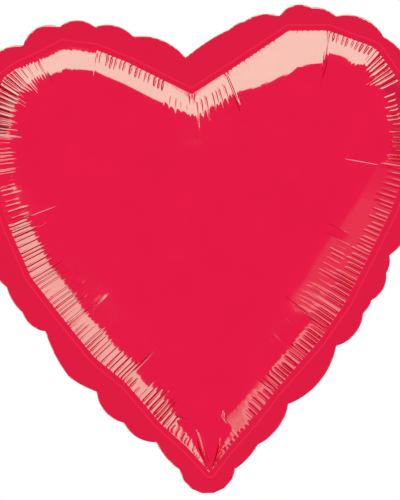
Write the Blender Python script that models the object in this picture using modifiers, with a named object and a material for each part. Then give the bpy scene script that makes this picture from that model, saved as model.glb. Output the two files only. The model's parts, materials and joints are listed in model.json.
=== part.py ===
"""Heart-shaped foil balloon, inflated, with its filling tail folded up behind it.

Metres, +Z up, front face towards -Y. The origin is the bottom of the heart's tip, where the ribbon is tied.
Two foil panels are welded together round the edge. A flat tail with a self-sealing film valve leaves the tip.
"""

import math

import bpy
import bmesh
import numpy as np
from mathutils import Matrix, Vector
from mathutils.geometry import delaunay_2d_cdt

MM = 0.001

# Film and the stack of layers through the edge, front to back.
FILM = 0.30 * MM  # foil panels and tail plies
VALVE_FILM = 0.20 * MM
GAP = 0.30 * MM  # between touching layers
STACK_HALF = (1.5 * GAP) + VALVE_FILM  # mid-plane to the inner face of a panel
SEAL_THICKNESS = 2 * (STACK_HALF - GAP)

# The inflated body.
DOME_DEPTH = 58 * MM  # mid-plane to the front of the pillow, at its deepest
NOTCH_DIP = 0.36  # share of its depth that the pillow loses beside the notch
NOTCH_REACH = 105 * MM
SHOULDER_RING = 6 * MM  # first row of points inside the seam
GRID = 14 * MM
SEAM_STEP = 11 * MM
SCALLOP_STEPS = 7

# The scalloped cut edge, clockwise from the notch as seen from the front: each cusp's x and z, and how
# far the scallop that follows it bulges beyond the straight line to the next cusp, in millimetres.
SCALLOPS = (
    (-3, 357, 1.5), (34, 379, 1), (46, 385, 3.5), (75, 388, 5.5), (101, 394, 2.5), (121, 386, 7.5),
    (159, 368, 5), (180, 335, 5), (190, 302, 5), (190, 268, 5), (180, 231, 6), (157, 189, 1.5),
    (154, 175, 4), (141, 153, 1), (134, 143, 5.5), (111, 117, 8), (70, 71, 5), (44, 39, 1.5),
    (25, 20, 20), (-21, 21, 2), (-39, 44, 4.5), (-65, 61, 5.5), (-86, 87, 1), (-108, 100, 2),
    (-126, 138, 3.5), (-144, 154, 2), (-156, 175, 4), (-171, 206, 4), (-179, 238, 4),
    (-181, 272, 4), (-177, 306, 6), (-166, 355, 6), (-135, 372, 7.5), (-105, 386, 5.5), (-76, 385, 5),
    (-45, 376, 6),
)

# The inner edge of the weld, where the film starts to bulge: straight runs between these corners.
SEAM = (
    (1, 327), (33, 346), (82, 376), (114, 375), (153, 359), (171, 331), (177, 295), (175, 262),
    (161, 226), (142, 191), (121, 153), (98, 122), (61, 83), (40, 58), (19, 36), (4, 18), (-14, 39),
    (-35, 59), (-62, 93), (-87, 115), (-111, 147), (-136, 182), (-152, 222), (-162, 255), (-165, 288),
    (-163, 319), (-153, 346), (-139, 355), (-122, 362), (-103, 371), (-77, 367), (-50, 355),
    (-30, 344),
)

# The neck, where the weld is left open for the valve.
SEAL_WIDTH = 6 * MM
SEAL_CLEAR = 0.5 * MM  # weld to the first bulging point of the film
NECK_HALF = 15 * MM
NECK_SEAL = 4 * MM
REAR_EDGE_Z = 9.5 * MM  # the rear panel ends here at the neck, and the tail folds round it
VALVE_HALF = 10 * MM
FLAP_ROOT_Z = 33 * MM
FLAP_LENGTH = 60 * MM

# The tail, which is drawn hanging from its fold and then turned up behind the heart.
FOLD = Vector((0, 2.5 * MM, 7 * MM))
TAIL_ROOT = 2 * MM
TAIL_LENGTH = 90 * MM
TAIL_FLARE_FROM = 58 * MM
MOUTH_HALF = 22 * MM
MOUTH_CORNER = 5 * MM
TAIL_REST_CLEAR = 2.0 * MM  # the folded tail to the back of the heart
TAIL_CLEAR_FROM = 12 * MM  # nearer its fold than this, the tail stands clear of the flat neck anyway
MOUTH_RECESS = 12 * MM  # valve film ends this far inside the mouth

RED_FOIL = (0.81, 0.011, 0.06)
CLEAR_FILM = (0.86, 0.88, 0.90)


def clear_scene():
    for obj in list(bpy.data.objects):
        bpy.data.objects.remove(obj, do_unlink=True)


def new_collection(name):
    collection = bpy.data.collections.new(name)
    bpy.context.scene.collection.children.link(collection)
    return collection


def new_material(name, colour, roughness, metallic):
    material = bpy.data.materials.new(name)
    material.use_nodes = True
    shader = material.node_tree.nodes["Principled BSDF"]
    shader.inputs["Base Color"].default_value = (*colour, 1)
    shader.inputs["Roughness"].default_value = roughness
    shader.inputs["Metallic"].default_value = metallic
    return material


# ---- outlines in the plane of the heart, as lists of (x, z) ----


def scallop_arc(start, end, bulge):
    """Points of a circular arc from start up to, not including, end. It bulges to the left of the run."""
    start, end = Vector(start), Vector(end)
    chord = end - start
    outward = Vector((-chord.y, chord.x)).normalized()
    middle = (start + end) / 2
    radius = (chord.length**2 / 4 + bulge**2) / (2 * bulge)
    centre = middle + outward * (bulge - radius)
    half_angle = math.asin(min(1, chord.length / 2 / radius))
    if bulge > radius:
        half_angle = math.pi - half_angle
    along = chord.normalized()
    points = []
    for step in range(SCALLOP_STEPS):
        angle = half_angle * (2 * step / SCALLOP_STEPS - 1)
        points.append(centre + radius * (along * math.sin(angle) + outward * math.cos(angle)))
    return points


def cut_edge(lowest=-1.0):
    """The scalloped outline. Nothing in it lies below lowest, so a higher value cuts the tip off flat."""
    points = []
    for (x, z, bulge), (next_x, next_z, _) in zip(SCALLOPS, SCALLOPS[1:] + SCALLOPS[:1]):
        points += scallop_arc((x * MM, z * MM), (next_x * MM, next_z * MM), bulge * MM)
    return [(p.x, max(p.y, lowest)) for p in points]


def seam_line():
    """The seam's corners with points between them, at most SEAM_STEP apart."""
    points = []
    for start, end in zip(SEAM, SEAM[1:] + SEAM[:1]):
        start, end = Vector(start) * MM, Vector(end) * MM
        steps = math.ceil((end - start).length / SEAM_STEP)
        points += [tuple(start.lerp(end, i / steps)) for i in range(steps)]
    return points


def moved_out(points, distance, closed=True):
    """The line again, moved to its left by distance, mitred at its corners."""
    moved = []
    for i, point in enumerate(points):
        before = points[i - 1] if closed or i else None
        after = points[(i + 1) % len(points)] if closed or i + 1 < len(points) else None
        normals = []
        for a, b in ((before, point), (point, after)):
            if a is not None and b is not None:
                run = (Vector(b) - Vector(a)).normalized()
                normals.append(Vector((-run.y, run.x)))
        normal = sum(normals, Vector((0, 0))).normalized()
        moved.append(Vector(point) + normal * distance / max(0.35, normal.dot(normals[0])))
    return [tuple(p) for p in moved]


def distance_to(points, outline):
    """How far each point is from a closed outline, and whether it is inside."""
    points, a = np.array(points), np.array(outline)
    b = np.roll(a, -1, axis=0)
    run = b - a
    reach = points[:, None] - a
    share = np.clip((reach * run).sum(-1) / (run * run).sum(-1), 0, 1)
    away = np.linalg.norm(reach - share[..., None] * run, axis=-1).min(1)
    x, z = points[:, None, 0], points[:, None, 1]
    crosses = (a[:, 1] > z) != (b[:, 1] > z)
    level = np.where(run[:, 1] == 0, 1, run[:, 1])
    inside = (crosses & (x < a[:, 0] + (z - a[:, 1]) / level * run[:, 0])).sum(1) % 2 == 1
    return away, inside


# ---- the pillow ----


def pillow_grid(seam):
    """Points inside the seam: a row along the shoulder, then a triangular grid."""
    row = moved_out(seam, -SHOULDER_RING)
    away, inside = distance_to(row, seam)
    points = [p for p, d, within in zip(row, away, inside) if within and d > 0.9 * SHOULDER_RING]
    low, high = np.min(seam, axis=0), np.max(seam, axis=0)
    rise = GRID * math.sqrt(3) / 2
    grid = []
    for k in range(int((high[1] - low[1]) / rise) + 1):
        for i in range(int((high[0] - low[0]) / GRID) + 1):
            grid.append((low[0] + (i + k % 2 / 2) * GRID, low[1] + k * rise))
    away, inside = distance_to(grid, seam)
    return points + [p for p, d, within in zip(grid, away, inside) if within and d > 1.9 * SHOULDER_RING]


def membrane(points, triangles, free):
    """How far a membrane held at the points that aren't free swells at each point, as a share of the most."""
    count = len(points)
    stiffness, load = np.zeros((count, count)), np.zeros(count)
    for triangle in triangles:
        for turn in range(3):
            i, j, k = triangle[turn], triangle[turn - 2], triangle[turn - 1]
            to_i, to_j = points[i] - points[k], points[j] - points[k]
            double_area = abs(to_i[0] * to_j[1] - to_i[1] * to_j[0])
            weight = to_i @ to_j / double_area / 2
            for a, b in ((i, j), (j, i)):
                stiffness[a, a] += weight
                stiffness[a, b] -= weight
            load[k] += double_area / 6
    swell = np.zeros(count)
    swell[free] = np.linalg.solve(stiffness[np.ix_(free, free)], load[free])
    return np.maximum(swell, 0) / swell.max()


def panel_surface(outline, side):
    """The inner surface of a panel: a flat margin out to the cut edge, and the pillow inside the seam.

    side is -1 for the front panel and 1 for the rear one. Returns the points, and the triangles with their
    normals facing out of the balloon."""
    seam = seam_line()
    flat = [Vector(p) for p in outline + seam + pillow_grid(seam)]
    first, last = len(outline), len(outline) + len(seam)
    weld = [(i, i + 1 if i + 1 < last else first) for i in range(first, last)]
    made = delaunay_2d_cdt(flat, weld, [list(range(first))], 1, 1e-7)
    points = np.array([tuple(p) for p in made[0]])
    triangles = [tuple(t) for t in made[2]]
    away, inside = distance_to(points, seam)
    free = np.flatnonzero(inside & (away > 1e-6))
    in_pillow = distance_to([points[list(t)].mean(0) for t in triangles], seam)[1]
    swell = membrane(points, [t for t, within in zip(triangles, in_pillow) if within], free)
    from_notch = np.linalg.norm(points - np.array(seam[0]), axis=1)
    swell *= 1 - NOTCH_DIP * np.exp(-((from_notch / NOTCH_REACH) ** 2))
    height = STACK_HALF + (DOME_DEPTH - STACK_HALF - FILM) * swell / swell.max()
    placed = [(x, side * y, z) for (x, z), y in zip(points, height)]
    facing = []
    for a, b, c in triangles:
        run, other = points[b] - points[a], points[c] - points[a]
        faces_front = run[0] * other[1] - run[1] * other[0] > 0
        facing.append((a, b, c) if faces_front == (side < 0) else (a, c, b))
    return placed, facing


def mesh_object(name, mesh, material, collection):
    obj = bpy.data.objects.new(name, mesh)
    obj.data.materials.append(material)
    collection.objects.link(obj)
    return obj


def make_panel(name, side, outline, material, collection):
    points, triangles = panel_surface(outline, side)
    mesh = bpy.data.meshes.new(name)
    mesh.from_pydata(points, [], triangles)
    mesh.shade_smooth()
    mesh.set_sharp_from_angle(angle=math.radians(40))
    panel = mesh_object(name, mesh, material, collection)
    film = panel.modifiers.new("film", "SOLIDIFY")
    film.thickness = FILM
    film.offset = 1
    film.use_even_offset = True
    return panel


# ---- flat films and welds ----


def flat_piece(name, outline, y_low, y_high, material, collection):
    """A flat sheet between y_low and y_high, cut to an outline of (x, z)."""
    curve = bpy.data.curves.new(name, "CURVE")
    curve.dimensions = "2D"
    curve.fill_mode = "BOTH"
    curve.extrude = (y_high - y_low) / 2
    spline = curve.splines.new("POLY")
    spline.points.add(len(outline) - 1)
    for point, (x, z) in zip(spline.points, outline):
        point.co = (x, z, 0, 1)
    spline.use_cyclic_u = True
    curve.materials.append(material)
    sheet = bpy.data.objects.new(name, curve)
    collection.objects.link(sheet)
    sheet.matrix_world = Matrix.Translation((0, (y_low + y_high) / 2, 0)) @ Matrix.Rotation(math.pi / 2, 4, "X")
    return sheet


def rectangle(x_low, x_high, z_low, z_high):
    return [(x_low, z_low), (x_high, z_low), (x_high, z_high), (x_low, z_high)]


def weld_outline():
    """The weld band outside the seam, left open at the neck and running down both of the neck's sides."""
    seam = seam_line()
    mouth_z = FLAP_ROOT_Z
    tip = min(range(len(seam)), key=lambda i: seam[i][1])
    from_tip = seam[tip:] + seam[:tip]
    run = [p for p in from_tip if p[1] > mouth_z or abs(p[0]) > NECK_HALF]
    inner = moved_out(run, SEAL_CLEAR, closed=False)
    outer = moved_out(run, SEAL_CLEAR + SEAL_WIDTH, closed=False)
    neck_inner = NECK_HALF - NECK_SEAL
    left = [(-NECK_HALF, REAR_EDGE_Z + GAP), (-neck_inner, REAR_EDGE_Z + GAP)]
    right = [(neck_inner, REAR_EDGE_Z + GAP), (NECK_HALF, REAR_EDGE_Z + GAP)]
    return left + inner + right + outer[::-1]


def tail_outline():
    """The hanging tail: parallel sides that flare to a round-cornered mouth. The fold is at the origin."""
    side = [(NECK_HALF, -TAIL_ROOT), (NECK_HALF, -TAIL_FLARE_FROM)]
    corner = Vector((MOUTH_HALF - MOUTH_CORNER, -TAIL_LENGTH + MOUTH_CORNER))
    for step in range(5):
        angle = math.radians(22.5 * step)
        side.append((corner.x + MOUTH_CORNER * math.cos(angle), corner.y - MOUTH_CORNER * math.sin(angle)))
    return [(-x, z) for x, z in side] + side[::-1]


def lean_of_folded_tail(rear_panel):
    """How far from upright the folded tail leans, so that it clears the back of the heart."""
    clear = STACK_HALF + FILM + TAIL_REST_CLEAR
    most = 0.0
    for vertex in rear_panel.data.vertices:
        reach = vertex.co - FOLD
        if abs(reach.x) < MOUTH_HALF + GRID and TAIL_CLEAR_FROM < reach.z < TAIL_LENGTH + GRID:
            away = math.hypot(reach.y, reach.z)
            most = max(most, math.atan2(reach.y, reach.z) + math.asin(min(1, clear / away)))
    return math.radians(math.ceil(math.degrees(most)))


def make_tail(lean, foil, clear_film, collection):
    fold = bpy.data.objects.new("tail_fold_line", None)
    collection.objects.link(fold)
    ply_near, ply_far = STACK_HALF, STACK_HALF + FILM
    film_near, film_far = GAP / 2, GAP / 2 + VALVE_FILM
    film = rectangle(-VALVE_HALF, VALVE_HALF, -TAIL_LENGTH + MOUTH_RECESS, -TAIL_ROOT)
    weld = rectangle(NECK_HALF - NECK_SEAL, NECK_HALF, -TAIL_FLARE_FROM, -TAIL_ROOT)
    mirrored_weld = [(-x, z) for x, z in weld]
    seal_low, seal_high = -SEAL_THICKNESS / 2, SEAL_THICKNESS / 2
    pieces = (
        ("tail_front_ply", tail_outline(), -ply_far, -ply_near, foil),
        ("tail_rear_ply", tail_outline(), ply_near, ply_far, foil),
        ("tail_weld_right", weld, seal_low, seal_high, foil),
        ("tail_weld_left", mirrored_weld, seal_low, seal_high, foil),
        ("valve_front_film_tail", film, -film_far, -film_near, clear_film),
        ("valve_rear_film_tail", film, film_near, film_far, clear_film),
    )
    for name, outline, y_low, y_high, material in pieces:
        piece = flat_piece(name, outline, y_low, y_high, material, collection)
        piece.parent = fold
    fold.location = FOLD
    fold.rotation_euler = (math.pi - lean, 0, 0)


def make_valve(clear_film, collection):
    """The two valve films: their part held in the neck, and the free flaps inside the body."""
    near, far = GAP / 2, GAP / 2 + VALVE_FILM
    throat = rectangle(-VALVE_HALF, VALVE_HALF, REAR_EDGE_Z + GAP, FLAP_ROOT_Z - GAP)
    corner = VALVE_HALF / 2
    flap = [(-VALVE_HALF, 0), (VALVE_HALF, 0), (VALVE_HALF, FLAP_LENGTH - corner), (corner, FLAP_LENGTH)]
    flap += [(-corner, FLAP_LENGTH), (-VALVE_HALF, FLAP_LENGTH - corner)]
    for name, side in (("front", -1), ("rear", 1)):
        low, high = sorted((side * near, side * far))
        flat_piece(f"valve_{name}_film_neck", throat, low, high, clear_film, collection)
        hinge = bpy.data.objects.new(f"valve_{name}_flap_line", None)
        collection.objects.link(hinge)
        middle = (low + high) / 2
        piece = flat_piece(f"valve_{name}_flap", flap, low - middle, high - middle, clear_film, collection)
        piece.parent = hinge
        hinge.location = (0, middle, FLAP_ROOT_Z)


def main():
    clear_scene()
    collection = new_collection("heart_foil_balloon")
    foil = new_material("red_foil", RED_FOIL, 0.18, 1.0)
    clear_film = new_material("valve_film", CLEAR_FILM, 0.35, 0.0)
    make_panel("front_panel", -1, cut_edge(), foil, collection)
    rear = make_panel("rear_panel", 1, cut_edge(lowest=REAR_EDGE_Z), foil, collection)
    seal_half = SEAL_THICKNESS / 2
    flat_piece("perimeter_weld", weld_outline(), -seal_half, seal_half, foil, collection)
    make_valve(clear_film, collection)
    make_tail(lean_of_folded_tail(rear), foil, clear_film, collection)


main()
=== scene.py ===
"""The looks of the heart-shaped foil balloon: two pleated foil panels, their weld, the valve and the tail.

Metres throughout. A place in the heart's plane is (x, z). Along the seam a place is how far it lies clockwise
from the tip, and in from the seam is positive, out over the flat margin negative.
"""

import json
import math

import bpy
import numpy as np
from mathutils import Matrix, Vector
from mathutils.geometry import delaunay_2d_cdt


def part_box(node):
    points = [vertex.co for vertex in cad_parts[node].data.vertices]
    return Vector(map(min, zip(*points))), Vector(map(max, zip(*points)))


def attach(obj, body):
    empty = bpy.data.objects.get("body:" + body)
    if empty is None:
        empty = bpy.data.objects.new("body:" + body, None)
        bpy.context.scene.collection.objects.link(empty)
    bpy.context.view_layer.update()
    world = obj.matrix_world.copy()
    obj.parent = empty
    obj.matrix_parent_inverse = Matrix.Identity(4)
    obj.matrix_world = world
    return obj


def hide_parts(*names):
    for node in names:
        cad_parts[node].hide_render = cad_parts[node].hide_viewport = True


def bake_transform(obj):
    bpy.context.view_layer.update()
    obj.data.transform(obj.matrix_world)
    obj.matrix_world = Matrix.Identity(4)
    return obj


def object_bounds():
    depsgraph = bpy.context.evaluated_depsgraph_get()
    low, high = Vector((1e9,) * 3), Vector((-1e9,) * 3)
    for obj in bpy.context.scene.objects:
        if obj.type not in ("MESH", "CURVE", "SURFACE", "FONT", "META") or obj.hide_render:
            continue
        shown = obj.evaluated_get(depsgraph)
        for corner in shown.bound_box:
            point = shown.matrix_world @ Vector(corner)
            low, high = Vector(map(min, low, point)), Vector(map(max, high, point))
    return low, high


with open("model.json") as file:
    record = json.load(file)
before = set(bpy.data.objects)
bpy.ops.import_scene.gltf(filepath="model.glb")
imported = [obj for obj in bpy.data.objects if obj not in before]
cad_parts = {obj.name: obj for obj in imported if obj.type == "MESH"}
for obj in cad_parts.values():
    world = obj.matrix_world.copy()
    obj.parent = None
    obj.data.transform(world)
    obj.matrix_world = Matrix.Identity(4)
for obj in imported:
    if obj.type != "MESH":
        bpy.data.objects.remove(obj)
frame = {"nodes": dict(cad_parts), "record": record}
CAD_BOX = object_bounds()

MM = 0.001

# Film.
FILM = 0.10 * MM
PLY_GAP = 0.72 * MM  # mid-plane to the inner face of a panel, at the weld
EDGE_GAP = 0.12 * MM  # the same at the cut edge, where the two films lie together

# The swelling is less near the notch, by this share and within this reach.
NOTCH_DIP = 0.36
NOTCH_REACH = 105 * MM

# The flat margin outside the seam.
WELD_OUT = 7 * MM  # the weld keeps the film flat this far out
GAP_CLOSES_OVER = 12 * MM  # beyond the weld, to where the two films lie together
WAVE_GROWS_OVER = 9 * MM
MARGIN_WAVES = ((23, 0.30), (37, 0.35), (61, 0.40))  # length and height of each, in millimetres
MARGIN_GRID = 2.5 * MM
CUT_EDGE_STEP = 1.8 * MM
SHARP_TURN = 0.35  # radians at a cusp between two scallops
WELD_HIGHLIGHT_LINE_OUT = 4.2  # millimetres from the seam to the middle of the weld's line, which is painted lighter than the film as a highlight

# The filling tail. Its two plies leave the neck between the panels and turn up round the fold.
NECK_HALF = 15 * MM
NECK_SPREAD = 18 * MM  # how far to each side it keeps the panels' margins apart
NECK_TOP = 10 * MM
NECK_FADE = 20 * MM  # above its top
MOUTH_HALF = 22 * MM
MOUTH_CORNER = 5 * MM
TAIL_LENGTH = 90 * MM
TAIL_FLARE_FROM = 58 * MM
FOLD_PINCH = 2 * MM  # how much narrower each half is round the fold
PINCH_ENDS = 8 * MM  # from the fold
PINCH_FADE = 5 * MM
TAIL_RIPPLES = 7
TAIL_SWELL = 0.35 * MM

# The rows and columns of the pleated band inside the seam.
BAND = 60 * MM
RELEASE = 46 * MM  # how far in the seam's slope has an effect
BAND_ROWS = 20
ROW_GROWTH = 1.5
PLEAT = 4.3 * MM
COLUMN_SHARES = (0, 0.11, 0.24, 0.41, 0.59, 0.76, 0.89)  # of a pleat's width, closest at its creases
TIP_SHARE = 0.62  # a column's length over its distance from the tip, where the two sides converge
NORMAL_BLUR = 40 * MM  # along the seam, so that the columns turn slowly at its corners
INNER_GRID = 4 * MM

# The shoulder's slopes, and how deep its creases may be.
EDGE_SLOPE = 0.86  # of the film where it leaves the seam
SLOPE_WINDOW = 61  # columns over which the membrane's own slope is averaged
RIDGE_FALL = 18  # millimetres from the shoulder's ridge to where it has died away
RIDGE_BLUNT, FOOT_BLUNT, LIP_BLUNT = 2.5, 6, 1  # millimetres over half of each bend
LIP_DROP = 0.4  # how much less the film slopes over the lip
DEEPEST_CREASE = 0.75  # a crease's depth over the film's height above the weld

# The run of each crease inward.
CREASE_START = 1.6  # millimetres over which it reaches its depth
CREASE_END = 0.3  # of its length, over which it runs out
CREASE_WIDENS = 0.4  # by this share of its width at its far end
CREASE_FADES = 0.4  # and this share of its depth is lost there

WHITE = (1, 1, 1)
BODY_RED = (0.806, 0.011, 0.061)
MARGIN_RED = (0.74, 0.0116, 0.053)
# The weld's line, painted lighter than both the margin and the body: a painted highlight along the seam.
WELD_LINE_HIGHLIGHT_RED = (0.88, 0.018, 0.07)
GRAZING_RED = (1, 0.5, 0.75)
LAMP_TINT = (0.004, 1.0, 0.14)  # so that the red metal's highlights come out a pale pink

# The camera looks along +Y and is rolled a little.
CAMERA_PLACE = (2.8 * MM, -3, 199.5 * MM)
CAMERA_ROLL = 2.2  # degrees
VIEW_HEIGHT = 408.2 * MM  # how much it sees at the balloon
SENSOR = 36  # millimetres
FLOOR_LEVEL = -600 * MM  # the balloon hangs in the air well above it


def smooth_step(share):
    """0 to 1 as share goes from 0 to 1, level at both ends."""
    return share * share * (3 - 2 * share)


# ---- outlines read from the frame ----


def signed_area(loop):
    """A loop's area, below zero when it runs clockwise."""
    x, z = loop[:, 0], loop[:, 1]
    return (x * np.roll(z, -1) - np.roll(x, -1) * z).sum() / 2


def flat_outlines(node):
    """The cut edge and the seam of a CAD panel: the two edges of its flat margin, as clockwise loops."""
    low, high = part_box(node)
    plane = min(low.y, high.y, key=abs)
    mesh = frame["nodes"][node].data
    runs = set()
    for polygon in mesh.polygons:
        corners = [mesh.vertices[v].co for v in polygon.vertices]
        if all(abs(c.y - plane) < 0.01 * MM for c in corners):
            flat = [(round(c.x, 6), round(c.z, 6)) for c in corners]
            runs.update(zip(flat, flat[1:] + flat[:1]))
    following = {a: b for a, b in runs if (b, a) not in runs}
    loops = []
    while following:
        start = min(following)
        loop, point = [start], following.pop(start)
        while point != start:
            loop.append(point)
            point = following.pop(point)
        loop = np.array(loop)
        loops.append(loop if signed_area(loop) < 0 else loop[::-1])
    cut_edge, seam = sorted(loops, key=signed_area)
    return cut_edge, np.roll(seam, -seam[:, 1].argmin(), axis=0)


def distance_to(points, outline):
    """Each point's distance from a closed outline, the nearest place along it, and if it's inside."""
    run = np.roll(outline, -1, axis=0) - outline
    length = np.linalg.norm(run, axis=1)
    along = np.concatenate(([0], np.cumsum(length)[:-1]))
    away, place, inside = [], [], []
    for block in np.array_split(points, max(1, len(points) // 2000)):
        reach = block[:, None] - outline
        share = np.clip((reach * run).sum(-1) / (length**2), 0, 1)
        distance = np.linalg.norm(reach - share[..., None] * run, axis=-1)
        nearest = distance.argmin(1)
        rows = np.arange(len(block))
        away.append(distance[rows, nearest])
        place.append(along[nearest] + share[rows, nearest] * length[nearest])
        z = block[:, None, 1]
        crosses = (outline[:, 1] > z) != (np.roll(outline[:, 1], -1) > z)
        rise = np.where(run[:, 1] == 0, 1, run[:, 1])
        left_of = block[:, None, 0] < outline[:, 0] + (z - outline[:, 1]) / rise * run[:, 0]
        inside.append((crosses & left_of).sum(1) % 2 == 1)
    return np.concatenate(away), np.concatenate(place), np.concatenate(inside)


class Seam:
    """The seam as a closed curve that is read by the distance along it."""

    def __init__(self, loop):
        self.loop = loop
        steps = np.linalg.norm(np.roll(loop, -1, axis=0) - loop, axis=1)
        self.along = np.concatenate(([0], np.cumsum(steps)))
        self.total = self.along[-1]
        self.closed = np.vstack((loop, loop[:1]))
        fine = np.arange(0, self.total, 1 * MM)
        ahead, behind = self.at(fine + 0.5 * MM), self.at(fine - 0.5 * MM)
        run = ahead - behind
        inward = np.stack((run[:, 1], -run[:, 0]), axis=1)
        reach = int(3 * NORMAL_BLUR / MM)
        kernel = np.exp(-0.5 * (np.arange(-reach, reach + 1) * MM / NORMAL_BLUR) ** 2)
        wrapped = np.vstack((inward[-reach:], inward, inward[:reach]))
        blurred = [np.convolve(wrapped[:, i], kernel, "valid") for i in (0, 1)]
        self.fine = np.append(fine, self.total)
        self.inward = np.stack([np.append(b, b[0]) for b in blurred], axis=1)

    def at(self, place):
        """The point at a place."""
        place = np.mod(place, self.total)
        return np.stack([np.interp(place, self.along, self.closed[:, i]) for i in (0, 1)], axis=-1)

    def inward_at(self, place):
        """The way in from the seam at a place, smoothed over the seam's corners."""
        place = np.mod(place, self.total)
        normal = np.stack([np.interp(place, self.fine, self.inward[:, i]) for i in (0, 1)], axis=-1)
        return normal / np.linalg.norm(normal, axis=-1, keepdims=True)


# ---- creases ----

# The seam's stretches, clockwise from the tip, in millimetres. Each has where it starts, the depth and reach
# of the long fold there, the distance in and the height of the shoulder's ridge, the flatter lip at the seam,
# and the depth of the comb of short creases with the two distances between which they lie.
STRETCHES = (
    # start, fold depth, reach, ridge, height, lip, comb depth, from, to
    (0, 0.6, 6, 5, 0.5, 0, 0.5, 0, 4),
    (18, 0.8, 10, 8, 0.8, 0, 0.9, 1, 8),
    (50, 1.2, 16, 18, 2.2, 0, 2.1, 0, 23),
    (85, 1.2, 16, 12, 1.8, 0, 1.3, 0, 10),
    (104, 2.4, 34, 20, 2.8, 0, 1.1, 0, 21),
    (168, 2.6, 44, 21, 2.8, 0, 1.1, 0, 30),
    (260, 2.2, 25, 17, 2.4, 0, 0.9, 2, 18),
    (300, 0.8, 20, 18, 2.6, 0, 0.8, 0, 21),
    (346, 1.8, 24, 20, 2.8, 0, 1.8, 0, 23),
    (403, 2.2, 36, 15, 2.0, 2, 1.8, 2, 24),
    (409, 2.4, 40, 15, 2.0, 2, 1.8, 2, 24),
    (415, 2.2, 34, 15, 2.0, 3, 1.8, 2, 20),
    (424, 2.2, 24, 23, 3.4, 4.5, 0.6, 3, 6),
    (472, 1.3, 11, 22, 3.2, 0, 1.6, 0, 10),
    (535, 0.6, 12, 20, 2.8, 0, 0.8, 9, 23),
    (557, 2.2, 25, 22, 2.8, 0, 1.7, 8, 26),
    (590, 3.2, 36, 36, 5.8, 0, 0.9, 0, 4),
    (642, 0.7, 8, 38, 6.4, 0, 0.7, 0, 3),
    (685, 3.2, 38, 25, 3.4, 0, 1.7, 0, 9),
    (727, 1.4, 18, 18, 2.6, 0, 1.9, 0, 22),
    (762, 1.2, 20, 15, 1.6, 0, 1.9, 5, 15),
    (797, 1.4, 18, 17, 1.6, 0, 1.8, 3, 16),
    (830, 2.4, 32, 28, 0.6, 0, 0.8, 0, 14),
    (905, 1.4, 18, 28, 0.6, 0, 1.2, 0, 18),
    (979, 2.4, 40, 15, 2.2, 0, 1.4, 0, 14),
    (1008, 1.8, 32, 15, 2.2, 0, 1.3, 0, 14),
    (1042, 1.8, 28, 13, 1.6, 0, 1.0, 0, 12),
    (1074, 0.8, 12, 20, 0.6, 0, 0.7, 0, 3),
    (1112, 0.6, 6, 5, 0.5, 0, 0.5, 0, 4),
)
STRETCH_STARTS = np.array([row[0] for row in STRETCHES]) * MM

# Faint rows of short creases further in: from and to along the seam, their depth, and the distances between
# which they lie, in millimetres.
FAR_ROWS = (
    (105, 258, 0.45, 24, 33),
    (345, 400, 0.35, 25, 33),
    (765, 828, 0.50, 25, 36),
    (905, 1040, 0.60, 19, 33),
)

# Flat facets between the seam and a ridge line, where the film is slack: where each starts and how far in its
# ridge is there, the same where it stops, in millimetres, and its slopes at the seam and at the ridge.
FACETS = (
    (3, 2, 50, 12, 0.80, 0.76),
    (264, 12, 340, 12, 0.72, 0.64),
    (592, 20, 612, 30, 0.86, 0.80),
    (612, 29, 645, 36, 0.86, 0.80),
    (645, 36, 684, 31, 0.86, 0.80),
    (833, 28, 900, 36, 0.88, 0.76),
    (908, 38, 976, 44, 0.88, 0.77),
    (1046, 18, 1092, 21, 0.83, 0.79),
)

# The curved crease above the tip: its upper end, two handles and lower end, in millimetres.
TIP_CREASE = ((-27, 66), (2, 68), (-3, 40), (4.5, 17))
TIP_CREASE_HALF = 2.6 * MM
TIP_CREASE_LIFT = 2.6 * MM
TIP_CREASE_FROM_BAND = 1.2 * MM  # how clear its own rows of points are of the band's last row
TIP_CREASE_FROM_GRID = 2.2 * MM  # and of the inner grid


def crease_places(seam, rng):
    """Where creases start on the seam, each with its stretch, and which of them are the long folds."""
    places, stretches, folds = [], [], []
    for number, (start, stop) in enumerate(zip(STRETCH_STARTS, np.append(STRETCH_STARTS[1:], seam.total))):
        count = max(1, round((stop - start) / PLEAT))
        widths = np.cumsum(rng.uniform(0.65, 1.35, count))
        places += [start, *(start + (stop - start) * widths[:-1] / widths[-1])]
        stretches += [number] * count
        folds += [True] + [False] * (count - 1)
    return np.array(places), np.array(stretches), np.array(folds)


def column_places(creases, total):
    """A column at each crease and evenly between."""
    widths = np.append(creases[1:], creases[0] + total) - creases
    return (creases[:, None] + widths[:, None] * COLUMN_SHARES).ravel()


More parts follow.
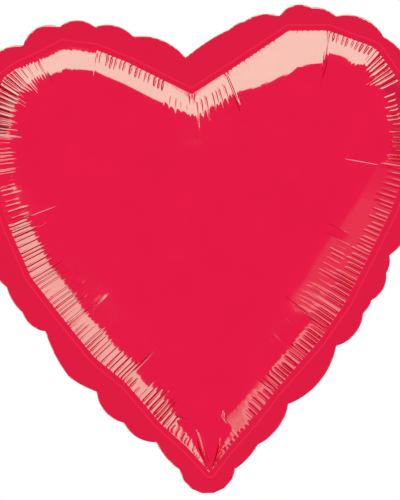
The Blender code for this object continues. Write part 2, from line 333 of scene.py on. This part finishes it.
def crease_depths(seam, creases, columns, inset, rng):
    """How far each band point is pressed in, for one panel. inset has a row for each row of the band."""
    pressed = np.zeros_like(inset)

    def press(place, depth, first, last, width):
        aside = np.mod(columns - place * MM + seam.total / 2, seam.total) - seam.total / 2
        near = np.flatnonzero(abs(aside) < (1 + CREASE_WIDENS) * width * MM)
        t = inset[:, near] / MM
        spread = width * (1 + CREASE_WIDENS * t / last)
        start = np.clip((t - first) / CREASE_START, 0, 1)
        end = np.clip((last - t) / (CREASE_END * (last - first)), 0, 1)
        fade = smooth_step(start) * end * (2 - end) * (1 - CREASE_FADES * t / last)
        kernel = np.clip(1 - abs(aside[near]) / (spread * MM), 0, 1) ** 3
        pressed[:, near] += depth * MM * fade * kernel

    for place, number, fold in zip(*creases):
        place = place / MM
        _, fold_depth, fold_reach, _, _, _, comb_depth, comb_from, comb_to = STRETCHES[number]
        if fold:
            apart = rng.uniform(1.1, 1.6)
            press(place - apart, 0.5 * fold_depth, 0, fold_reach, rng.uniform(1.8, 2.3))
            shorter = fold_reach * rng.uniform(0.75, 0.95)
            press(place + apart, 0.5 * fold_depth, 0, shorter, rng.uniform(1.8, 2.3))
        else:
            depth = comb_depth * rng.uniform(0.6, 1.1)
            press(place, depth, comb_from, comb_to * rng.uniform(0.8, 1.25), rng.uniform(1.6, 2.3))
        for start, stop, depth, first, last in FAR_ROWS:
            if start < place < stop:
                shift = rng.uniform(-2, 2)
                depth *= rng.uniform(0.4, 1.1)
                press(place, depth, first + shift, last + shift, rng.uniform(1.5, 2.2))
    return pressed


def bend(t, centre, half):
    """How far a line that starts level and rises one in one, bending round centre, has risen at t."""
    share = np.clip((t - centre + half) / (2 * half), 0, 1)
    return 2 * half * (share**3 - share**4 / 2) + np.maximum(t - centre - half, 0)


def release_share(inset):
    """0 at the seam to 1 where the seam's slope no longer has an effect."""
    return np.clip(inset / np.minimum(inset[-1], RELEASE), 0, 1)


def facet(inset, base, ridge, slopes):
    """How far a facet stands out from the film, which is base high. It dies away beyond its ridge."""
    first, last = slopes
    t = np.minimum(inset, ridge)
    straight = first * t + (last - first) * t**2 / (2 * ridge)
    at_ridge = np.stack([np.interp(r, column, heights) for r, column, heights in zip(ridge, inset.T, base.T)])
    beyond = np.clip((inset - ridge) / (inset[-1] - ridge), 0, 1)
    fall = 1 - smooth_step(beyond)
    return np.where(inset < ridge, straight - base, (straight - at_ridge) * fall)


def shoulder(seam, columns, inset, base, rng):
    """How far the film stands out along its shoulder: a ridge between each two long folds, or a facet."""
    raised = np.zeros_like(inset)
    stops = np.append(STRETCH_STARTS[1:], seam.total)
    for (_, _, _, ridge, height, lip, _, _, _), start, stop in zip(STRETCHES, STRETCH_STARTS, stops):
        share = (columns - start) / (stop - start)
        near = np.flatnonzero((share >= 0) & (share < 1))
        # The ridge comes nearer the seam towards the two folds, and wanders a little.
        ends = 1 - 0.12 * abs(2 * share[near] - 1) ** 3 + 0.03 * np.sin(9 * share[near] + rng.uniform(0, 6))
        t = inset[:, near]
        up, down = height / ridge, height / RIDGE_FALL
        ridge, lip = ridge * MM * ends, lip * MM * ends
        foot = ridge + RIDGE_FALL * MM
        profile = up * t - (up + down) * bend(t, ridge, RIDGE_BLUNT * MM)
        profile += down * bend(t, foot, FOOT_BLUNT * MM)
        profile -= LIP_DROP * (t - bend(t, lip, LIP_BLUNT * MM)) * (lip > 0)
        raised[:, near] += profile
    raised *= np.clip(1.6 * (1 - release_share(inset)), 0, 1)
    place = columns / MM
    for start, start_ridge, stop, stop_ridge, *slopes in FACETS:
        near = np.flatnonzero((place >= start) & (place < stop))
        share = (place[near] - start) / (stop - start)
        ridge = (start_ridge + (stop_ridge - start_ridge) * share) * MM
        ridge = np.minimum(ridge, 0.8 * inset[-1, near])
        raised[:, near] = facet(inset[:, near], base[:, near], ridge, slopes)
    return raised


# ---- the flat layout of a panel, and its swelling ----


def curve_points(start, first_handle, last_handle, end, count):
    """Points along a Bezier curve."""
    t = np.linspace(0, 1, count)[:, None]
    return ((1 - t) ** 3 * start + 3 * (1 - t) ** 2 * t * first_handle
            + 3 * (1 - t) * t**2 * last_handle + t**3 * end)


def triangulate(points, loops):
    """Triangles over points, keeping the closed loops, lists of point numbers. The first one bounds."""
    edges = [(a, b) for loop in loops[1:] for a, b in zip(loop, np.roll(loop, -1))]
    made = delaunay_2d_cdt([Vector(p) for p in points], edges, [list(loops[0])], 1, 1e-9)
    if len(made[0]) > len(points):
        raise ValueError(f"{len(made[0]) - len(points)} crossings in a layout")
    original = np.array([group[0] for group in made[3]])
    return original[np.array(made[2])]


def grid_inside(outline, spacing, clear, hole=None, hole_clear=0.0):
    """Points of a triangular grid inside an outline and outside a hole, clear of both."""
    low, high = outline.min(0), outline.max(0)
    grid = []
    for number, z in enumerate(np.arange(low[1], high[1], spacing * math.sqrt(3) / 2)):
        x = np.arange(low[0], high[0], spacing) + (number % 2) * spacing / 2
        grid.append(np.stack((x, np.full(len(x), z)), axis=1))
    grid = np.vstack(grid)
    away, _, inside = distance_to(grid, outline)
    keep = inside & (away > clear)
    if hole is not None:
        away, _, inside = distance_to(grid, hole)
        keep &= ~inside & (away > hole_clear)
    return grid[keep]


def tip_curve():
    """The line of the curved crease that rises from the tip."""
    return curve_points(*(np.array(p) * MM for p in TIP_CREASE), 48)


def beside(curve):
    """Rows of points along a curve, close enough together to shape a crease."""
    run = np.gradient(curve, axis=0)
    across = np.stack((run[:, 1], -run[:, 0]), axis=1) / np.linalg.norm(run, axis=1, keepdims=True)
    offsets = np.arange(-4, 5) * TIP_CREASE_HALF / 3
    return (curve[::2, None] + offsets[:, None] * across[::2, None]).reshape(-1, 2)


def tip_crease_lift(points):
    """How far the film stands out along the tip's curved crease."""
    curve = tip_curve()
    away = np.linalg.norm(points[:, None] - curve, axis=-1)
    share = away.argmin(1) / (len(curve) - 1)
    lift = TIP_CREASE_LIFT * np.clip(1 - away.min(1) / TIP_CREASE_HALF, 0, 1) ** 1.5
    return lift * np.clip(9 * share, 0, 1)


def body_layout(seam, columns):
    """Points and triangles inside the seam: the band's rows, then the rest. Also each band point's inset."""
    from_tip = np.minimum(columns, seam.total - columns)
    lengths = np.clip(TIP_SHARE * from_tip, 1 * MM, BAND)
    shares = (np.arange(BAND_ROWS + 1) / BAND_ROWS) ** ROW_GROWTH
    inset = shares[:, None] * lengths
    band = seam.at(columns) + inset[..., None] * seam.inward_at(columns)
    count = len(columns)
    numbers = np.arange(band.shape[0] * count).reshape(-1, count)
    a, b = numbers[:-1], np.roll(numbers[:-1], -1, axis=1)
    c, d = np.roll(numbers[1:], -1, axis=1), numbers[1:]
    triangles = np.concatenate([np.stack((a, c, b), -1), np.stack((a, d, c), -1)]).reshape(-1, 3)
    ring = band[-1]
    inner = grid_inside(ring, INNER_GRID, 0.6 * INNER_GRID)
    rows = beside(tip_curve())
    away, _, inside = distance_to(rows, ring)
    rows = rows[inside & (away > TIP_CREASE_FROM_BAND)]
    from_rows = np.linalg.norm(inner[:, None] - rows, axis=-1).min(1)
    inner = np.vstack((inner[from_rows > TIP_CREASE_FROM_GRID], rows))
    core = triangulate(np.vstack((ring, inner)), [np.arange(count)])
    core = core + numbers[-1, 0]
    points = np.vstack((band.reshape(-1, 2), inner))
    return points, facing_front(points, np.vstack((triangles, core))), inset


def facing_front(points, triangles):
    """The triangles, all turned the same way round, without those of no area."""
    a, b, c = (points[triangles[:, i]] for i in range(3))
    turn = (b - a)[:, 0] * (c - a)[:, 1] - (b - a)[:, 1] * (c - a)[:, 0]
    flipped = triangles[:, [0, 2, 1]]
    return np.where(turn[:, None] > 0, triangles, flipped)[abs(turn) > 1e-13]


def membrane(points, triangles, held):
    """How far a membrane held at some points swells, as a share of the most, by conjugate gradients."""
    count = len(points)
    starts, ends, weights = [], [], []
    load = np.zeros(count)
    for turn in range(3):
        i, j, k = triangles[:, turn], triangles[:, turn - 2], triangles[:, turn - 1]
        to_i, to_j = points[i] - points[k], points[j] - points[k]
        double_area = abs(to_i[:, 0] * to_j[:, 1] - to_i[:, 1] * to_j[:, 0])
        starts.append(i)
        ends.append(j)
        weights.append((to_i * to_j).sum(1) / double_area / 2)
        load += np.bincount(k, double_area / 6, count)
    start, end, weight = (np.concatenate(x) for x in (starts, ends, weights))
    diagonal = np.bincount(start, weight, count) + np.bincount(end, weight, count)
    diagonal[diagonal <= 0] = 1
    free = (~held).astype(float)

    def pull(x):
        flow = weight * (x[start] - x[end])
        return free * (np.bincount(start, flow, count) - np.bincount(end, flow, count))

    swell = np.zeros(count)
    left = load * free
    heading = left / diagonal
    step = heading.copy()
    power = left @ heading
    first = power
    for _ in range(6000):
        pulled = pull(step)
        share = power / (step @ pulled)
        swell += share * step
        left -= share * pulled
        heading = left / diagonal
        before, power = power, left @ heading
        if power < 1e-12 * first:
            break
        step = heading + power / before * step
    return np.maximum(swell, 0) / swell.max()


def edge_factor(height, inset):
    """What to multiply the band's height by, so that the film leaves the seam equally steep all round."""
    slope = height[1] / inset[1]
    window = np.hanning(SLOPE_WINDOW)
    half = SLOPE_WINDOW // 2
    wrapped = np.concatenate((slope[-half:], slope, slope[:half]))
    slope = np.convolve(wrapped, window / window.sum(), "valid")
    more = EDGE_SLOPE / slope - 1
    share = release_share(inset)
    late = np.clip((share - 0.35) / 0.65, 0, 1)
    return 1 + more * np.where(more < 0, 1 - share, 1 - smooth_step(late))


def margin_layout(cut_edge, seam_loop, seam_row):
    """Points and triangles from the seam row out to the cut edge. The seam row's points come first."""
    inner = grid_inside(cut_edge, MARGIN_GRID, 0.6 * MARGIN_GRID, seam_loop, 0.6 * MARGIN_GRID)
    cut_edge = finer(cut_edge, CUT_EDGE_STEP)
    points = np.vstack((seam_row, cut_edge, inner))
    first, count = len(seam_row), len(cut_edge)
    triangles = triangulate(points, [np.arange(first, first + count), np.arange(first)])
    _, _, within = distance_to(points[triangles].mean(1), seam_loop)
    return points, facing_front(points, triangles[~within])


def finer(loop, spacing):
    """The loop with more points, on smooth arcs between its inward cusps."""
    run = np.roll(loop, -1, axis=0) - loop
    heading = np.arctan2(run[:, 1], run[:, 0])
    turn = np.mod(heading - np.roll(heading, 1) + math.pi, 2 * math.pi) - math.pi
    count = len(loop)
    points = []
    for i in range(count):
        p0, p1, p2, p3 = (loop[(i + k) % count] for k in (-1, 0, 1, 2))
        sharp_start, sharp_end = abs(turn[i]) > SHARP_TURN, abs(turn[(i + 1) % count]) > SHARP_TURN
        start_slope = (p2 - p1) if sharp_start else (p2 - p0) / 2
        end_slope = (p2 - p1) if sharp_end else (p3 - p1) / 2
        steps = max(1, round(np.linalg.norm(p2 - p1) / spacing))
        for step in range(steps):
            t = step / steps
            points.append((2 * t**3 - 3 * t**2 + 1) * p1 + (t**3 - 2 * t**2 + t) * start_slope
                          + (3 * t**2 - 2 * t**3) * p2 + (t**3 - t**2) * end_slope)
    return np.array(points)


def vertex_normals(places, triangles):
    """Each point's unit normal, averaged over its triangles by their area."""
    a, b, c = (places[triangles[:, i]] for i in range(3))
    across = np.cross(b - a, c - a)
    normals = np.stack([
        sum(np.bincount(triangles[:, i], across[:, k], len(places)) for i in range(3)) for k in range(3)
    ], axis=1)
    return normals / np.maximum(np.linalg.norm(normals, axis=1, keepdims=True), 1e-12)


def margin_wave(seam, place, out, rng):
    """How far the flat margin's film waves to and fro, at a place along the seam and a distance out."""
    wave = np.zeros(len(place))
    for length, height in MARGIN_WAVES:
        cycles = round(seam.total / (length * MM))
        wave += height * MM * np.sin(2 * math.pi * (cycles * place / seam.total + rng.random()))
    return wave * np.clip((out - WELD_OUT) / WAVE_GROWS_OVER, 0, 1) ** 1.5


def near_neck(points):
    """1 at the neck, where the tail keeps the two films apart, falling to 0 beside and above it."""
    above = np.maximum(points[:, 1] - NECK_TOP, 0)
    return np.exp(-((points[:, 0] / NECK_SPREAD) ** 4) - (above / NECK_FADE) ** 4)


def film_object(name, places, triangles, body, node, material):
    """A film of the given points and faces, which stands for a CAD node. A blended film has no body here."""
    mesh = bpy.data.meshes.new(name)
    mesh.from_pydata(places.tolist(), [], triangles.tolist())
    mesh.shade_smooth()
    obj = bpy.data.objects.new(name, mesh)
    bpy.context.scene.collection.objects.link(obj)
    obj.data.materials.append(material)
    thicken(obj, FILM)
    if body:
        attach(obj, body)
    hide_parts(node)
    return obj


def thicken(obj, thickness):
    film = obj.modifiers.new("film", "SOLIDIFY")
    film.thickness = thickness
    film.offset = -1


def set_point_value(obj, name, values):
    attribute = obj.data.attributes.new(name, "FLOAT", "POINT")
    attribute.data.foreach_set("value", np.asarray(values, np.float32))


def body_places(layout, rng):
    """Where the swollen film's points lie in the front panel, with its shoulder and its creases."""
    seam, columns, creases, points, triangles, inset, height = layout
    pressed = crease_depths(seam, creases, columns, inset, rng).ravel()
    base = height[: inset.size].reshape(inset.shape)
    height = height + tip_crease_lift(points)
    height[: inset.size] += shoulder(seam, columns, inset, base, rng).ravel()
    pressed = np.minimum(pressed, DEEPEST_CREASE * height[: inset.size])
    places = np.stack((points[:, 0], -(PLY_GAP + height), points[:, 1]), axis=1)
    normals = vertex_normals(places, triangles)
    places[: inset.size] -= normals[: inset.size] * pressed[:, None]
    return places


def margin_places(seam, flat, out, place, side):
    """Where the margin's points lie in the front panel. The gap to the rear one closes towards the edge."""
    edge_share = np.clip((out - WELD_OUT) / GAP_CLOSES_OVER, 0, 1)
    neck = near_neck(flat)
    gap = PLY_GAP + (EDGE_GAP - PLY_GAP) * edge_share * (1 - neck)
    wave = margin_wave(seam, place, out, np.random.default_rng(5)) * (1 - neck)
    return np.stack((flat[:, 0], -gap - side * wave, flat[:, 1]), axis=1)


def make_panel(name, node, side, layout, cut_edge, seed, material):
    """One foil panel. side is -1 for the front and 1 for the rear, which is made as a front and mirrored."""
    seam, columns, _, points, triangles, _, _ = layout
    places = body_places(layout, np.random.default_rng(seed))
    count = len(columns)
    flat, flat_triangles = margin_layout(cut_edge, seam.loop, points[:count])
    out, place, _ = distance_to(flat, seam.loop)
    margin = margin_places(seam, flat, out, place, side)
    # The margin's first points are the band's first row, so they share numbers.
    renumbered = np.where(flat_triangles < count, flat_triangles, flat_triangles + len(places) - count)
    margin_out = np.concatenate((np.zeros(len(places)), out[count:] / MM))
    places = np.vstack((places, margin[count:]))
    triangles = np.vstack((triangles, renumbered))
    if side > 0:
        places[:, 1] *= -1
        triangles = triangles[:, [0, 2, 1]]
    panel = film_object(name, places, triangles, "balloon", node, material)
    set_point_value(panel, "millimetres_out", margin_out)
    return panel


# ---- tail ----


def tail_half_width(along):
    """Half the tail's width at a distance from its fold: parallel, flared, then round at its corners."""
    flare = np.clip((along - TAIL_FLARE_FROM) / (TAIL_LENGTH - MOUTH_CORNER - TAIL_FLARE_FROM), 0, 1)
    width = NECK_HALF + (MOUTH_HALF - NECK_HALF) * flare
    corner = np.clip((along - (TAIL_LENGTH - MOUTH_CORNER)) / MOUTH_CORNER, 0, 1)
    pinch = np.clip((PINCH_ENDS - along) / PINCH_FADE, 0, 1)
    return width - MOUTH_CORNER * (1 - np.sqrt(1 - corner**2)) - FOLD_PINCH * pinch


def tail_ripple(x, distance, across, outward, rng):
    """How far a ply's film stands out from flat: ripples over a slight swelling, none at its edges."""
    ripple = np.zeros_like(x)
    for _ in range(TAIL_RIPPLES):
        slant, length, phase = rng.uniform(-0.5, 0.5), rng.uniform(7, 19) * MM, rng.uniform(0, 2 * math.pi)
        turn = 2 * math.pi * (x + slant * distance[:, None]) / length + phase
        ripple += rng.uniform(0.03, 0.09) * MM * np.cos(turn)
    ripple += TAIL_SWELL * outward * (1 - across**2)
    return ripple * np.clip((distance - 4 * MM) / (12 * MM), 0, 1)[:, None] * (1 - across**4)


def make_tail_ply(name, node, root_y, root_z, handle, offset, seed, material):
    """One ply: down from its root in the neck, round the fold, and up behind the heart.

    offset is how far it lies from the tail's mid-plane, positive away from the heart."""
    joint = next(j for j in frame["record"]["behaviour"]["joints"] if j["name"] == "tail_fold")
    lean = math.pi - math.radians(joint["range_deg"][1])
    fold = np.array(joint["pos_m"][1:])
    up = np.array((math.sin(lean), math.cos(lean)))
    away = np.array((math.cos(lean), -math.sin(lean)))
    root = np.array((root_y, root_z))
    straight_from = fold + 2 * MM * up + offset * away
    loop = curve_points(root, root - (0, handle), straight_from - handle * up, straight_from, 15)
    along = np.linspace(2 * MM, TAIL_LENGTH, 75)[1:]
    straight = fold + along[:, None] * up + offset * away
    path = np.vstack((root + (0, 4 * MM), root + (0, 2 * MM), loop, straight))
    distance = np.concatenate((np.full(len(path) - len(along), 2 * MM), along))
    across = np.linspace(-1, 1, 33)
    x = tail_half_width(distance)[:, None] * across
    ripple = tail_ripple(x, distance, across, math.copysign(1, offset), np.random.default_rng(seed))
    y, z = path[:, :1] + ripple * away[0], path[:, 1:] + ripple * away[1]
    places = np.stack((x, y, z), axis=-1).reshape(-1, 3)
    numbers = np.arange(len(places)).reshape(x.shape)
    a, b, c, d = numbers[:-1, :-1], numbers[:-1, 1:], numbers[1:, 1:], numbers[1:, :-1]
    quads = np.stack((a, b, c, d) if offset > 0 else (a, d, c, b), -1).reshape(-1, 4)
    ply = film_object(name, places, quads, None, node, material)
    solid = bpy.data.meshes.new_from_object(ply.evaluated_get(bpy.context.evaluated_depsgraph_get()))
    ply.modifiers.clear()
    ply.data = solid
    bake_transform(ply)
    return ply


# ---- materials ----


def principled(name, colour, roughness, metallic):
    """A new material with its node tree and its shader."""
    material = bpy.data.materials.new(name)
    material.use_nodes = True
    shader = material.node_tree.nodes["Principled BSDF"]
    shader.inputs["Base Color"].default_value = (*colour, 1)
    shader.inputs["Roughness"].default_value = roughness
    shader.inputs["Metallic"].default_value = metallic
    return material, material.node_tree, shader


def own_place(tree):
    """The piece's own coordinates, from one node that a material's textures share."""
    place = tree.nodes.get("place") or tree.nodes.new("ShaderNodeTexCoord")
    place.name = "place"
    return place.outputs["Object"]


def noise(tree, scale, detail):
    """Noise over the piece's own space."""
    texture = tree.nodes.new("ShaderNodeTexNoise")
    texture.inputs["Scale"].default_value = scale
    texture.inputs["Detail"].default_value = detail
    tree.links.new(own_place(tree), texture.inputs["Vector"])
    return texture.outputs["Fac"]


def add_bump(tree, shader, height, strength, distance):
    """Fine relief on a material, from a height between 0 and 1."""
    bump = tree.nodes.new("ShaderNodeBump")
    bump.inputs["Strength"].default_value = strength
    bump.inputs["Distance"].default_value = distance
    tree.links.new(height, bump.inputs["Height"])
    tree.links.new(bump.outputs["Normal"], shader.inputs["Normal"])


def spread(tree, value, low, high):
    """The value, from 0.3 to 0.7, made to run from low to high."""
    return mapped(tree, value, (0.3, 0.7), (low, high))


def mapped(tree, value, taken, given):
    """The value, clamped, made to run from one pair of numbers to another."""
    scaled = tree.nodes.new("ShaderNodeMapRange")
    for socket, number in zip(("From Min", "From Max", "To Min", "To Max"), (*taken, *given)):
        scaled.inputs[socket].default_value = number
    tree.links.new(value, scaled.inputs["Value"])
    return scaled.outputs["Result"]


def distance_from(tree, value, centre):
    """How far the value is from a number."""
    minus = tree.nodes.new("ShaderNodeMath")
    minus.operation = "SUBTRACT"
    tree.links.new(value, minus.inputs[0])
    minus.inputs[1].default_value = centre
    size = tree.nodes.new("ShaderNodeMath")
    size.operation = "ABSOLUTE"
    tree.links.new(minus.outputs[0], size.inputs[0])
    return size.outputs[0]


def mixed(tree, share, first, second):
    """A colour from the first to the second by a share. Each is a colour or another node's output."""
    mix = tree.nodes.new("ShaderNodeMix")
    mix.data_type = "RGBA"
    for socket, colour in ((mix.inputs[6], first), (mix.inputs[7], second)):
        if isinstance(colour, tuple):
            socket.default_value = (*colour, 1)
        else:
            tree.links.new(colour, socket)
    tree.links.new(share, mix.inputs[0])
    return mix.outputs[2]


def foil_material():
    """Red metallised film, a slightly blurred mirror. Its margin is darker, with the weld's line painted
    lighter along it as a highlight.
    """
    material, tree, shader = principled("red_foil", BODY_RED, 0.16, 1.0)
    shader.inputs["Specular Tint"].default_value = (*GRAZING_RED, 1)
    out = tree.nodes.new("ShaderNodeAttribute")
    out.attribute_name = "millimetres_out"
    margin = mapped(tree, out.outputs["Fac"], (0, 1), (0, 1))
    # A painted highlight: a lighter line along the weld, a little way out from the seam.
    line = mapped(tree, distance_from(tree, out.outputs["Fac"], WELD_HIGHLIGHT_LINE_OUT), (0.9, 0.3), (0, 1))
    clouds = noise(tree, 35, 3)
    worn = tuple(0.96 * c for c in BODY_RED)
    body = mixed(tree, spread(tree, clouds, 0, 1), BODY_RED, worn)
    flange = mixed(tree, line, MARGIN_RED, WELD_LINE_HIGHLIGHT_RED)
    tree.links.new(mixed(tree, margin, body, flange), shader.inputs["Base Color"])
    tree.links.new(spread(tree, noise(tree, 120, 2), 0.09, 0.13), shader.inputs["Roughness"])
    add_bump(tree, shader, noise(tree, 600, 2), 0.25, 0.05 * MM)
    return material


def weld_material():
    """The same foil where it is melted together, with the weld's fine cross-ribs."""
    material, tree, shader = principled("red_foil_weld", MARGIN_RED, 0.24, 1.0)
    ribs = tree.nodes.new("ShaderNodeTexWave")
    ribs.inputs["Scale"].default_value = 420
    ribs.inputs["Distortion"].default_value = 0.4
    ribs.bands_direction = "Z"
    tree.links.new(own_place(tree), ribs.inputs["Vector"])
    add_bump(tree, shader, ribs.outputs["Fac"], 0.4, 0.08 * MM)
    tree.links.new(spread(tree, noise(tree, 150, 2), 0.2, 0.3), shader.inputs["Roughness"])
    return material


def clear_film_material():
    """Clear polyethylene film, faintly milky and streaked along its length."""
    material, tree, shader = principled("valve_film", (0.86, 0.88, 0.90), 0.3, 0.0)
    shader.inputs["Specular IOR Level"].default_value = 0
    shader.inputs["Alpha"].default_value = 0.45
    streaks = noise(tree, 90, 3)
    tree.links.new(mixed(tree, streaks, (0.82, 0.85, 0.88), (0.93, 0.94, 0.95)), shader.inputs["Base Color"])
    tree.links.new(spread(tree, noise(tree, 260, 2), 0.22, 0.38), shader.inputs["Roughness"])
    return material


# ---- stage ----


def out_from_middle(azimuth):
    """The balloon's middle and the way out from it at an azimuth, from +X towards +Z in degrees."""
    low, high = CAD_BOX
    angle = math.radians(azimuth)
    return (
        Vector(((low[0] + high[0]) / 2, 0, (low[2] + high[2]) / 2)),
        Vector((math.cos(angle), 0, math.sin(angle))),
    )


def softbox(name, azimuth, span, front, back, colour, strength, radius=1.1):
    """A lamp seen only in reflections, in a ring round the balloon.

    All four angles are in degrees: azimuth from +X towards +Z, span across the ring, and the bearings from -Y
    of the lamp's front and back ends."""
    y_front, y_back = (-radius / math.tan(math.radians(b)) for b in (front, back))
    width = 2 * radius * math.tan(math.radians(span / 2))
    lamp = bpy.data.lights.new(name, "AREA")
    lamp.shape = "RECTANGLE"
    lamp.size = width
    lamp.size_y = y_back - y_front
    lamp.color = colour
    lamp.energy = strength * width * lamp.size_y * math.pi
    obj = bpy.data.objects.new(name, lamp)
    bpy.context.scene.collection.objects.link(obj)
    middle, out = out_from_middle(azimuth)
    middle.y = (y_front + y_back) / 2
    turned = Matrix((out.cross(Vector((0, 1, 0))), Vector((0, 1, 0)), out)).transposed().to_4x4()
    obj.matrix_world = Matrix.Translation(middle + out * radius) @ turned
    obj.visible_camera = False
    obj.visible_diffuse = False


def card(name, azimuth, span, front, back, shade, radius=1.3):
    """A grey card seen only in reflections, placed as a softbox is."""
    y_front, y_back = (-radius / math.tan(math.radians(b)) for b in (front, back))
    half = radius * math.tan(math.radians(span / 2))
    middle, out = out_from_middle(azimuth)
    aside = out.cross(Vector((0, 1, 0)))
    corners = [middle + out * radius + aside * a * half + Vector((0, y, 0)) for a, y in
               ((-1, y_front), (1, y_front), (1, y_back), (-1, y_back))]
    mesh = bpy.data.meshes.new(name)
    mesh.from_pydata(corners, [], [(0, 1, 2, 3)])
    obj = bpy.data.objects.new(name, mesh)
    bpy.context.scene.collection.objects.link(obj)
    material, _, _ = principled("card", (shade,) * 3, 1.0, 0.0)
    obj.data.materials.append(material)
    obj.visible_camera = False
    obj.visible_diffuse = False
    obj.visible_shadow = False


def make_stage():
    """A white world, and lamps and cards that the film mirrors round its shoulder."""
    scene = bpy.context.scene
    scene.view_settings.view_transform = "Standard"
    world = bpy.data.worlds.new("world")
    world.use_nodes = True
    background = world.node_tree.nodes["Background"]
    background.inputs["Color"].default_value = (*WHITE, 1)
    background.inputs["Strength"].default_value = 1.0
    scene.world = world
    softbox("top_softbox", 92, 110, 75, 155, LAMP_TINT, 48)
    softbox("lower_left_softbox", 212, 58, 79, 155, LAMP_TINT, 33)
    softbox("lower_right_softbox", 318, 16, 80, 145, LAMP_TINT, 18)
    for front in (76, 80, 84, 88):
        softbox(f"right_softbox_{front}", 334, 22, front, 145, LAMP_TINT, 2.2)
    card("lower_card", 271, 62, 84, 160, 0.6)
    card("left_card", 166, 34, 84, 160, 0.4)
    card("right_card", 8, 44, 84, 160, 0.8)


def make_floor():
    """A plain pale floor well below the balloon, which hangs in the air."""
    bpy.ops.mesh.primitive_plane_add(size=5, location=(0, 0, FLOOR_LEVEL))
    floor = bpy.context.object
    floor.name = "floor"
    material, tree, shader = principled("floor", (0.93, 0.93, 0.92), 0.7, 0.0)
    tree.links.new(mixed(tree, noise(tree, 4, 2), (0.92, 0.92, 0.91), (0.94, 0.94, 0.935)),
                   shader.inputs["Base Color"])
    shader.inputs["Specular IOR Level"].default_value = 0
    floor.data.materials.append(material)
    floor.visible_glossy = False


def make_camera():
    """A long lens level with the balloon's middle, rolled a little."""
    camera = bpy.data.objects.new("camera", bpy.data.cameras.new("camera"))
    bpy.context.scene.collection.objects.link(camera)
    bpy.context.scene.camera = camera
    camera.location = CAMERA_PLACE
    camera.rotation_euler = (math.pi / 2, math.radians(CAMERA_ROLL), 0)
    camera.data.sensor_width = SENSOR
    camera.data.lens = SENSOR * -CAMERA_PLACE[1] / VIEW_HEIGHT


def panel_layout(seam_loop):
    """What the panels share: the seam, its columns and creases, and the swollen film's points and height."""
    seam = Seam(seam_loop)
    creases = crease_places(seam, np.random.default_rng(11))
    columns = np.sort(np.mod(column_places(creases[0], seam.total), seam.total))
    points, triangles, inset = body_layout(seam, columns)
    held = np.zeros(len(points), bool)
    held[: len(columns)] = True
    height = membrane(points, triangles, held)
    notch = min((p for p in seam_loop if p[1] > 200 * MM), key=lambda p: abs(p[0]))
    height *= 1 - NOTCH_DIP * np.exp(-((points - notch) ** 2).sum(1) / NOTCH_REACH**2)
    height *= (-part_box("front_panel")[0].y - PLY_GAP) / height.max()
    height[: inset.size] *= edge_factor(height[: inset.size].reshape(inset.shape), inset).ravel()
    return seam, columns, creases, points, triangles, inset, height


def make_balloon():
    """Both panels and both tail plies, and the materials of the CAD solids that stay as they are."""
    foil = foil_material()
    cut_edge, seam_loop = flat_outlines("front_panel")
    rear_cut_edge, _ = flat_outlines("rear_panel")
    layout = panel_layout(seam_loop)
    front = make_panel("front_foil", "front_panel", -1, layout, cut_edge, 21, foil)
    rear = make_panel("rear_foil", "rear_panel", 1, layout, rear_cut_edge, 22, foil)
    make_tail_ply("tail_outer_foil", "tail_front_ply", -0.05 * MM, 9.5 * MM, 4.5 * MM, 0.7 * MM, 31, foil)
    make_tail_ply("tail_inner_foil", "tail_rear_ply", 0.43 * MM, 10 * MM, 2.4 * MM, -0.7 * MM, 32, foil)
    weld, clear_film = weld_material(), clear_film_material()
    for node, obj in frame["nodes"].items():
        if "weld" in node or "valve" in node:
            obj.data.materials.clear()
            obj.data.materials.append(weld if "weld" in node else clear_film)


make_camera()
make_stage()
make_floor()
make_balloon()
